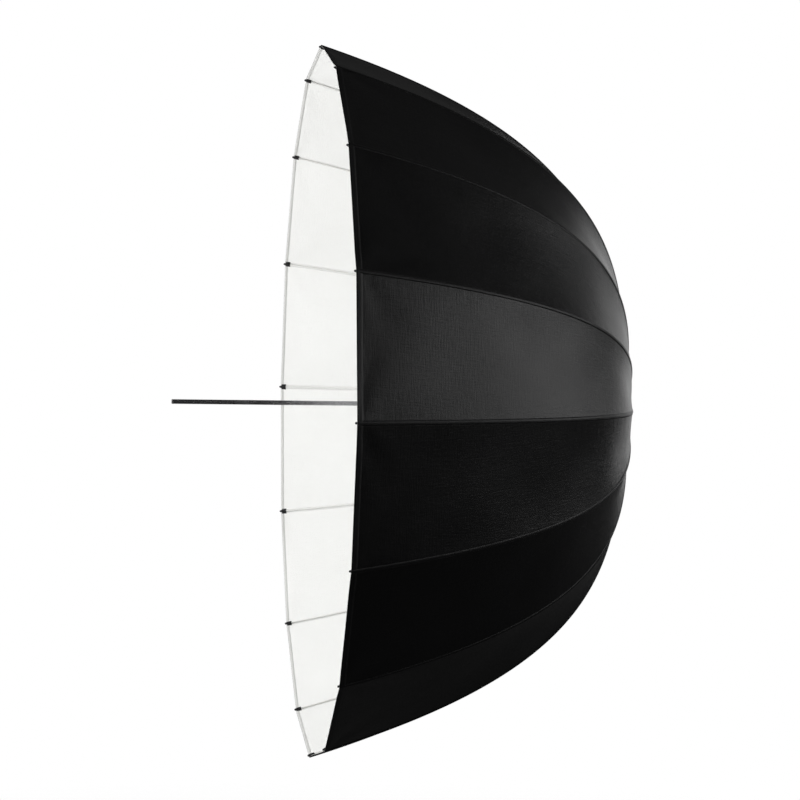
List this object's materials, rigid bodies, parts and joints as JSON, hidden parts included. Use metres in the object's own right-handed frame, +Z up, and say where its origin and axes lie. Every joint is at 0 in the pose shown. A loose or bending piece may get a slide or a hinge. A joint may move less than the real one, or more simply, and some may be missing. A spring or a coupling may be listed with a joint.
{
  "type": "umbrella reflector",
  "caption": "Deep bowl-shaped umbrella reflector, black outside and white inside, on a slim steel shaft; its ribs fold along the shaft when the runner slides to the free end.",
  "frame": {"origin": "on the shaft axis where a stand-mounted umbrella holder grips the shaft, 60 mm from its free end", "axes": "+X along the shaft from the free end to the crown, +Z up, the open mouth of the bowl faces -X"},
  "size_m": [0.805, 1.25, 1.25],
  "materials": {
    "cover_cloth": "black woven nylon, faint sheen",
    "lining_cloth": "matt white woven polyester",
    "rib_rod": "white fibreglass rod",
    "stretcher_steel": "white powder coat",
    "shaft_steel": "dark polished steel tube",
    "end_cap_plastic": "black moulded plastic",
    "hub_plastic": "black glass-filled nylon",
    "finial_plastic": "black moulded plastic",
    "wire_steel": "bright wire",
    "spring_steel": "spring steel"
  },
  "bodies": {
    "frame": {"shaft_tube": "shaft_steel", "shaft_end_cap": "end_cap_plastic", "crown": "hub_plastic", "crown_wire": "wire_steel", "stop_pin": "spring_steel", "finial": "finial_plastic", "apex_washer": "finial_plastic", "canopy_cover": "cover_cloth", "canopy_lining": "lining_cloth"},
    "runner_body": {"runner": "hub_plastic", "runner_wire": "wire_steel"},
    "catch": {"catch_spring": "spring_steel"},
    "inner_01": {"rib_inner_01": "rib_rod"},
    "outer_01": {"rib_outer_01": "rib_rod"},
    "strut_01": {"stretcher_01": "stretcher_steel"},
    "inner_02": {"rib_inner_02": "rib_rod"},
    "outer_02": {"rib_outer_02": "rib_rod"},
    "strut_02": {"stretcher_02": "stretcher_steel"},
    "inner_03": {"rib_inner_03": "rib_rod"},
    "outer_03": {"rib_outer_03": "rib_rod"},
    "strut_03": {"stretcher_03": "stretcher_steel"},
    "inner_04": {"rib_inner_04": "rib_rod"},
    "outer_04": {"rib_outer_04": "rib_rod"},
    "strut_04": {"stretcher_04": "stretcher_steel"},
    "inner_05": {"rib_inner_05": "rib_rod"},
    "outer_05": {"rib_outer_05": "rib_rod"},
    "strut_05": {"stretcher_05": "stretcher_steel"},
    "inner_06": {"rib_inner_06": "rib_rod"},
    "outer_06": {"rib_outer_06": "rib_rod"},
    "strut_06": {"stretcher_06": "stretcher_steel"},
    "inner_07": {"rib_inner_07": "rib_rod"},
    "outer_07": {"rib_outer_07": "rib_rod"},
    "strut_07": {"stretcher_07": "stretcher_steel"},
    "inner_08": {"rib_inner_08": "rib_rod"},
    "outer_08": {"rib_outer_08": "rib_rod"},
    "strut_08": {"stretcher_08": "stretcher_steel"},
    "inner_09": {"rib_inner_09": "rib_rod"},
    "outer_09": {"rib_outer_09": "rib_rod"},
    "strut_09": {"stretcher_09": "stretcher_steel"},
    "inner_10": {"rib_inner_10": "rib_rod"},
    "outer_10": {"rib_outer_10": "rib_rod"},
    "strut_10": {"stretcher_10": "stretcher_steel"},
    "inner_11": {"rib_inner_11": "rib_rod"},
    "outer_11": {"rib_outer_11": "rib_rod"},
    "strut_11": {"stretcher_11": "stretcher_steel"},
    "inner_12": {"rib_inner_12": "rib_rod"},
    "outer_12": {"rib_outer_12": "rib_rod"},
    "strut_12": {"stretcher_12": "stretcher_steel"},
    "inner_13": {"rib_inner_13": "rib_rod"},
    "outer_13": {"rib_outer_13": "rib_rod"},
    "strut_13": {"stretcher_13": "stretcher_steel"},
    "inner_14": {"rib_inner_14": "rib_rod"},
    "outer_14": {"rib_outer_14": "rib_rod"},
    "strut_14": {"stretcher_14": "stretcher_steel"},
    "inner_15": {"rib_inner_15": "rib_rod"},
    "outer_15": {"rib_outer_15": "rib_rod"},
    "strut_15": {"stretcher_15": "stretcher_steel"},
    "inner_16": {"rib_inner_16": "rib_rod"},
    "outer_16": {"rib_outer_16": "rib_rod"},
    "strut_16": {"stretcher_16": "stretcher_steel"}
  },
  "joints": [
    {"name": "runner_slide", "type": "slide", "parent": "frame", "child": "runner_body", "axis": [-1, 0, 0], "range_m": [0, 0.30618], "deforming": ["canopy_cover", "canopy_lining"]},
    {"name": "catch_press", "type": "slide", "parent": "frame", "child": "catch", "axis": [0, 0, -1], "range_m": [0, 0.0018], "stiffness_N_per_m": 600},
    {"name": "rib_fold_01", "type": "hinge", "parent": "frame", "child": "inner_01", "pos_m": [0.731, 0, 0.0122], "axis": [0, -1, 0], "range_deg": [0, 60.02]},
    {"name": "rib_bend_01", "type": "hinge", "parent": "inner_01", "child": "outer_01", "pos_m": [0.69106, 0, 0.27018], "axis": [0, 1, 0], "range_deg": [0, 17.04]},
    {"name": "strut_swing_01", "type": "hinge", "parent": "inner_01", "child": "strut_01", "pos_m": [0.69083, 0, 0.25733], "axis": [0, 1, 0], "range_deg": [0, 97.82]},
    {"name": "rib_fold_02", "type": "hinge", "parent": "frame", "child": "inner_02", "pos_m": [0.731, -0.00467, 0.01127], "axis": [0, -0.9239, -0.3827], "range_deg": [0, 60.02]},
    {"name": "rib_bend_02", "type": "hinge", "parent": "inner_02", "child": "outer_02", "pos_m": [0.69106, -0.10339, 0.24962], "axis": [0, 0.9239, 0.3827], "range_deg": [0, 17.04]},
    {"name": "strut_swing_02", "type": "hinge", "parent": "inner_02", "child": "strut_02", "pos_m": [0.69083, -0.09848, 0.23775], "axis": [0, 0.9239, 0.3827], "range_deg": [0, 97.82]},
    {"name": "rib_fold_03", "type": "hinge", "parent": "frame", "child": "inner_03", "pos_m": [0.731, -0.00863, 0.00863], "axis": [0, -0.7071, -0.7071], "range_deg": [0, 60.02]},
    {"name": "rib_bend_03", "type": "hinge", "parent": "inner_03", "child": "outer_03", "pos_m": [0.69106, -0.19105, 0.19105], "axis": [0, 0.7071, 0.7071], "range_deg": [0, 17.04]},
    {"name": "strut_swing_03", "type": "hinge", "parent": "inner_03", "child": "strut_03", "pos_m": [0.69083, -0.18196, 0.18196], "axis": [0, 0.7071, 0.7071], "range_deg": [0, 97.82]},
    {"name": "rib_fold_04", "type": "hinge", "parent": "frame", "child": "inner_04", "pos_m": [0.731, -0.01127, 0.00467], "axis": [0, -0.3827, -0.9239], "range_deg": [0, 60.02]},
    {"name": "rib_bend_04", "type": "hinge", "parent": "inner_04", "child": "outer_04", "pos_m": [0.69106, -0.24962, 0.10339], "axis": [0, 0.3827, 0.9239], "range_deg": [0, 17.04]},
    {"name": "strut_swing_04", "type": "hinge", "parent": "inner_04", "child": "strut_04", "pos_m": [0.69083, -0.23775, 0.09848], "axis": [0, 0.3827, 0.9239], "range_deg": [0, 97.82]},
    {"name": "rib_fold_05", "type": "hinge", "parent": "frame", "child": "inner_05", "pos_m": [0.731, -0.0122, 0], "axis": [0, 0, -1], "range_deg": [0, 60.02]},
    {"name": "rib_bend_05", "type": "hinge", "parent": "inner_05", "child": "outer_05", "pos_m": [0.69106, -0.27018, 0], "axis": [0, 0, 1], "range_deg": [0, 17.04]},
    {"name": "strut_swing_05", "type": "hinge", "parent": "inner_05", "child": "strut_05", "pos_m": [0.69083, -0.25733, 0], "axis": [0, 0, 1], "range_deg": [0, 97.82]},
    {"name": "rib_fold_06", "type": "hinge", "parent": "frame", "child": "inner_06", "pos_m": [0.731, -0.01127, -0.00467], "axis": [0, 0.3827, -0.9239], "range_deg": [0, 60.02]},
    {"name": "rib_bend_06", "type": "hinge", "parent": "inner_06", "child": "outer_06", "pos_m": [0.69106, -0.24962, -0.10339], "axis": [0, -0.3827, 0.9239], "range_deg": [0, 17.04]},
    {"name": "strut_swing_06", "type": "hinge", "parent": "inner_06", "child": "strut_06", "pos_m": [0.69083, -0.23775, -0.09848], "axis": [0, -0.3827, 0.9239], "range_deg": [0, 97.82]},
    {"name": "rib_fold_07", "type": "hinge", "parent": "frame", "child": "inner_07", "pos_m": [0.731, -0.00863, -0.00863], "axis": [0, 0.7071, -0.7071], "range_deg": [0, 60.02]},
    {"name": "rib_bend_07", "type": "hinge", "parent": "inner_07", "child": "outer_07", "pos_m": [0.69106, -0.19105, -0.19105], "axis": [0, -0.7071, 0.7071], "range_deg": [0, 17.04]},
    {"name": "strut_swing_07", "type": "hinge", "parent": "inner_07", "child": "strut_07", "pos_m": [0.69083, -0.18196, -0.18196], "axis": [0, -0.7071, 0.7071], "range_deg": [0, 97.82]},
    {"name": "rib_fold_08", "type": "hinge", "parent": "frame", "child": "inner_08", "pos_m": [0.731, -0.00467, -0.01127], "axis": [0, 0.9239, -0.3827], "range_deg": [0, 60.02]},
    {"name": "rib_bend_08", "type": "hinge", "parent": "inner_08", "child": "outer_08", "pos_m": [0.69106, -0.10339, -0.24962], "axis": [0, -0.9239, 0.3827], "range_deg": [0, 17.04]},
    {"name": "strut_swing_08", "type": "hinge", "parent": "inner_08", "child": "strut_08", "pos_m": [0.69083, -0.09848, -0.23775], "axis": [0, -0.9239, 0.3827], "range_deg": [0, 97.82]},
    {"name": "rib_fold_09", "type": "hinge", "parent": "frame", "child": "inner_09", "pos_m": [0.731, 0, -0.0122], "axis": [0, 1, 0], "range_deg": [0, 60.02]},
    {"name": "rib_bend_09", "type": "hinge", "parent": "inner_09", "child": "outer_09", "pos_m": [0.69106, 0, -0.27018], "axis": [0, -1, 0], "range_deg": [0, 17.04]},
    {"name": "strut_swing_09", "type": "hinge", "parent": "inner_09", "child": "strut_09", "pos_m": [0.69083, 0, -0.25733], "axis": [0, -1, 0], "range_deg": [0, 97.82]},
    {"name": "rib_fold_10", "type": "hinge", "parent": "frame", "child": "inner_10", "pos_m": [0.731, 0.00467, -0.01127], "axis": [0, 0.9239, 0.3827], "range_deg": [0, 60.02]},
    {"name": "rib_bend_10", "type": "hinge", "parent": "inner_10", "child": "outer_10", "pos_m": [0.69106, 0.10339, -0.24962], "axis": [0, -0.9239, -0.3827], "range_deg": [0, 17.04]},
    {"name": "strut_swing_10", "type": "hinge", "parent": "inner_10", "child": "strut_10", "pos_m": [0.69083, 0.09848, -0.23775], "axis": [0, -0.9239, -0.3827], "range_deg": [0, 97.82]},
    {"name": "rib_fold_11", "type": "hinge", "parent": "frame", "child": "inner_11", "pos_m": [0.731, 0.00863, -0.00863], "axis": [0, 0.7071, 0.7071], "range_deg": [0, 60.02]},
    {"name": "rib_bend_11", "type": "hinge", "parent": "inner_11", "child": "outer_11", "pos_m": [0.69106, 0.19105, -0.19105], "axis": [0, -0.7071, -0.7071], "range_deg": [0, 17.04]},
    {"name": "strut_swing_11", "type": "hinge", "parent": "inner_11", "child": "strut_11", "pos_m": [0.69083, 0.18196, -0.18196], "axis": [0, -0.7071, -0.7071], "range_deg": [0, 97.82]},
    {"name": "rib_fold_12", "type": "hinge", "parent": "frame", "child": "inner_12", "pos_m": [0.731, 0.01127, -0.00467], "axis": [0, 0.3827, 0.9239], "range_deg": [0, 60.02]},
    {"name": "rib_bend_12", "type": "hinge", "parent": "inner_12", "child": "outer_12", "pos_m": [0.69106, 0.24962, -0.10339], "axis": [0, -0.3827, -0.9239], "range_deg": [0, 17.04]},
    {"name": "strut_swing_12", "type": "hinge", "parent": "inner_12", "child": "strut_12", "pos_m": [0.69083, 0.23775, -0.09848], "axis": [0, -0.3827, -0.9239], "range_deg": [0, 97.82]},
    {"name": "rib_fold_13", "type": "hinge", "parent": "frame", "child": "inner_13", "pos_m": [0.731, 0.0122, 0], "axis": [0, 0, 1], "range_deg": [0, 60.02]},
    {"name": "rib_bend_13", "type": "hinge", "parent": "inner_13", "child": "outer_13", "pos_m": [0.69106, 0.27018, 0], "axis": [0, 0, -1], "range_deg": [0, 17.04]},
    {"name": "strut_swing_13", "type": "hinge", "parent": "inner_13", "child": "strut_13", "pos_m": [0.69083, 0.25733, 0], "axis": [0, 0, -1], "range_deg": [0, 97.82]},
    {"name": "rib_fold_14", "type": "hinge", "parent": "frame", "child": "inner_14", "pos_m": [0.731, 0.01127, 0.00467], "axis": [0, -0.3827, 0.9239], "range_deg": [0, 60.02]},
    {"name": "rib_bend_14", "type": "hinge", "parent": "inner_14", "child": "outer_14", "pos_m": [0.69106, 0.24962, 0.10339], "axis": [0, 0.3827, -0.9239], "range_deg": [0, 17.04]},
    {"name": "strut_swing_14", "type": "hinge", "parent": "inner_14", "child": "strut_14", "pos_m": [0.69083, 0.23775, 0.09848], "axis": [0, 0.3827, -0.9239], "range_deg": [0, 97.82]},
    {"name": "rib_fold_15", "type": "hinge", "parent": "frame", "child": "inner_15", "pos_m": [0.731, 0.00863, 0.00863], "axis": [0, -0.7071, 0.7071], "range_deg": [0, 60.02]},
    {"name": "rib_bend_15", "type": "hinge", "parent": "inner_15", "child": "outer_15", "pos_m": [0.69106, 0.19105, 0.19105], "axis": [0, 0.7071, -0.7071], "range_deg": [0, 17.04]},
    {"name": "strut_swing_15", "type": "hinge", "parent": "inner_15", "child": "strut_15", "pos_m": [0.69083, 0.18196, 0.18196], "axis": [0, 0.7071, -0.7071], "range_deg": [0, 97.82]},
    {"name": "rib_fold_16", "type": "hinge", "parent": "frame", "child": "inner_16", "pos_m": [0.731, 0.00467, 0.01127], "axis": [0, -0.9239, 0.3827], "range_deg": [0, 60.02]},
    {"name": "rib_bend_16", "type": "hinge", "parent": "inner_16", "child": "outer_16", "pos_m": [0.69106, 0.10339, 0.24962], "axis": [0, 0.9239, -0.3827], "range_deg": [0, 17.04]},
    {"name": "strut_swing_16", "type": "hinge", "parent": "inner_16", "child": "strut_16", "pos_m": [0.69083, 0.09848, 0.23775], "axis": [0, 0.9239, -0.3827], "range_deg": [0, 97.82]}
  ],
  "couplings": [
    {"joint": "rib_fold_01", "follows": "runner_slide", "rad_per_m": 3.4202},
    {"joint": "rib_bend_01", "follows": "runner_slide", "rad_per_m": 0.97004},
    {"joint": "strut_swing_01", "follows": "runner_slide", "rad_per_m": 5.5748},
    {"joint": "rib_fold_02", "follows": "runner_slide", "rad_per_m": 3.4202},
    {"joint": "rib_bend_02", "follows": "runner_slide", "rad_per_m": 0.97004},
    {"joint": "strut_swing_02", "follows": "runner_slide", "rad_per_m": 5.5748},
    {"joint": "rib_fold_03", "follows": "runner_slide", "rad_per_m": 3.4202},
    {"joint": "rib_bend_03", "follows": "runner_slide", "rad_per_m": 0.97004},
    {"joint": "strut_swing_03", "follows": "runner_slide", "rad_per_m": 5.5748},
    {"joint": "rib_fold_04", "follows": "runner_slide", "rad_per_m": 3.4202},
    {"joint": "rib_bend_04", "follows": "runner_slide", "rad_per_m": 0.97004},
    {"joint": "strut_swing_04", "follows": "runner_slide", "rad_per_m": 5.5748},
    {"joint": "rib_fold_05", "follows": "runner_slide", "rad_per_m": 3.4202},
    {"joint": "rib_bend_05", "follows": "runner_slide", "rad_per_m": 0.97004},
    {"joint": "strut_swing_05", "follows": "runner_slide", "rad_per_m": 5.5748},
    {"joint": "rib_fold_06", "follows": "runner_slide", "rad_per_m": 3.4202},
    {"joint": "rib_bend_06", "follows": "runner_slide", "rad_per_m": 0.97004},
    {"joint": "strut_swing_06", "follows": "runner_slide", "rad_per_m": 5.5748},
    {"joint": "rib_fold_07", "follows": "runner_slide", "rad_per_m": 3.4202},
    {"joint": "rib_bend_07", "follows": "runner_slide", "rad_per_m": 0.97004},
    {"joint": "strut_swing_07", "follows": "runner_slide", "rad_per_m": 5.5748},
    {"joint": "rib_fold_08", "follows": "runner_slide", "rad_per_m": 3.4202},
    {"joint": "rib_bend_08", "follows": "runner_slide", "rad_per_m": 0.97004},
    {"joint": "strut_swing_08", "follows": "runner_slide", "rad_per_m": 5.5748},
    {"joint": "rib_fold_09", "follows": "runner_slide", "rad_per_m": 3.4202},
    {"joint": "rib_bend_09", "follows": "runner_slide", "rad_per_m": 0.97004},
    {"joint": "strut_swing_09", "follows": "runner_slide", "rad_per_m": 5.5748},
    {"joint": "rib_fold_10", "follows": "runner_slide", "rad_per_m": 3.4202},
    {"joint": "rib_bend_10", "follows": "runner_slide", "rad_per_m": 0.97004},
    {"joint": "strut_swing_10", "follows": "runner_slide", "rad_per_m": 5.5748},
    {"joint": "rib_fold_11", "follows": "runner_slide", "rad_per_m": 3.4202},
    {"joint": "rib_bend_11", "follows": "runner_slide", "rad_per_m": 0.97004},
    {"joint": "strut_swing_11", "follows": "runner_slide", "rad_per_m": 5.5748},
    {"joint": "rib_fold_12", "follows": "runner_slide", "rad_per_m": 3.4202},
    {"joint": "rib_bend_12", "follows": "runner_slide", "rad_per_m": 0.97004},
    {"joint": "strut_swing_12", "follows": "runner_slide", "rad_per_m": 5.5748},
    {"joint": "rib_fold_13", "follows": "runner_slide", "rad_per_m": 3.4202},
    {"joint": "rib_bend_13", "follows": "runner_slide", "rad_per_m": 0.97004},
    {"joint": "strut_swing_13", "follows": "runner_slide", "rad_per_m": 5.5748},
    {"joint": "rib_fold_14", "follows": "runner_slide", "rad_per_m": 3.4202},
    {"joint": "rib_bend_14", "follows": "runner_slide", "rad_per_m": 0.97004},
    {"joint": "strut_swing_14", "follows": "runner_slide", "rad_per_m": 5.5748},
    {"joint": "rib_fold_15", "follows": "runner_slide", "rad_per_m": 3.4202},
    {"joint": "rib_bend_15", "follows": "runner_slide", "rad_per_m": 0.97004},
    {"joint": "strut_swing_15", "follows": "runner_slide", "rad_per_m": 5.5748},
    {"joint": "rib_fold_16", "follows": "runner_slide", "rad_per_m": 3.4202},
    {"joint": "rib_bend_16", "follows": "runner_slide", "rad_per_m": 0.97004},
    {"joint": "strut_swing_16", "follows": "runner_slide", "rad_per_m": 5.5748}
  ]
}
